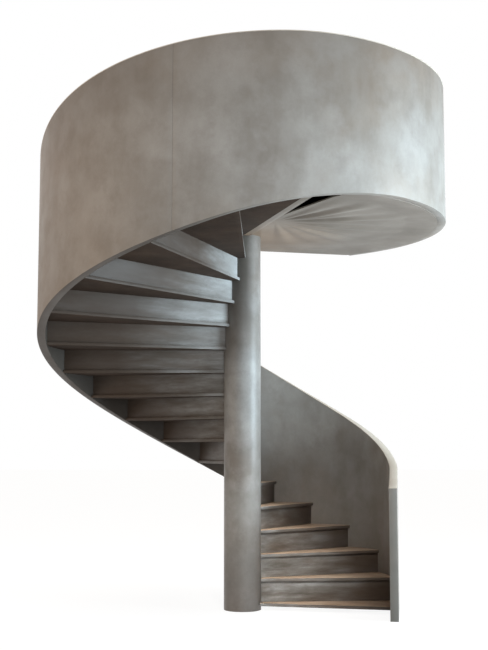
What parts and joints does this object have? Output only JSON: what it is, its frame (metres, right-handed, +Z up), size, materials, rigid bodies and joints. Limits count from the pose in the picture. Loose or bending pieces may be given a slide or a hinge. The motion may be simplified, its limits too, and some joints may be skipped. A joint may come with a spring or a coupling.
{
  "type": "spiral staircase",
  "caption": "Spiral staircase of folded winder steps round an off-centre steel post, inside a sweeping drum-shaped wall that ends in a round landing.",
  "frame": {"origin": "on the floor, at the centre of the flat foot of the post", "axes": "+Z up along the post; +Y from the post away from the viewer, towards the back of the drum; +X to the right, towards the free end of the wall"},
  "size_m": [3.23, 3.23, 4.145],
  "materials": {
    "wall_steel": "matte mottled grey-brown patina",
    "post_steel": "satin mottled grey",
    "step_steel": "satin grey-brown",
    "cap_cream": "matte cream",
    "soffit_taupe": "satin taupe"
  },
  "bodies": {
    "root": {"newel_post": "post_steel", "step_01": "step_steel", "step_02": "step_steel", "step_03": "step_steel", "step_04": "step_steel", "step_05": "step_steel", "step_06": "step_steel", "step_07": "step_steel", "step_08": "step_steel", "step_09": "step_steel", "step_10": "step_steel", "step_11": "step_steel", "step_12": "step_steel", "step_13": "step_steel", "step_14": "step_steel", "step_15": "step_steel", "step_16": "step_steel", "step_17": "step_steel", "landing_deck": "step_steel", "landing_riser": "step_steel", "landing_end": "step_steel", "landing_soffit": "soffit_taupe", "wall_foot": "wall_steel", "wall_bend": "wall_steel", "wall_01": "wall_steel", "wall_02": "wall_steel", "wall_03": "wall_steel", "wall_04": "wall_steel", "wall_05": "wall_steel", "wall_06": "wall_steel", "wall_07": "wall_steel", "wall_08": "wall_steel", "wall_09": "wall_steel", "wall_10": "wall_steel", "wall_11": "wall_steel", "wall_12": "wall_steel", "cap_foot": "cap_cream", "cap_bend": "cap_cream", "cap_01": "cap_cream", "cap_02": "cap_cream", "cap_03": "cap_cream", "cap_04": "cap_cream", "cap_05": "cap_cream"}
  },
  "joints": []
}
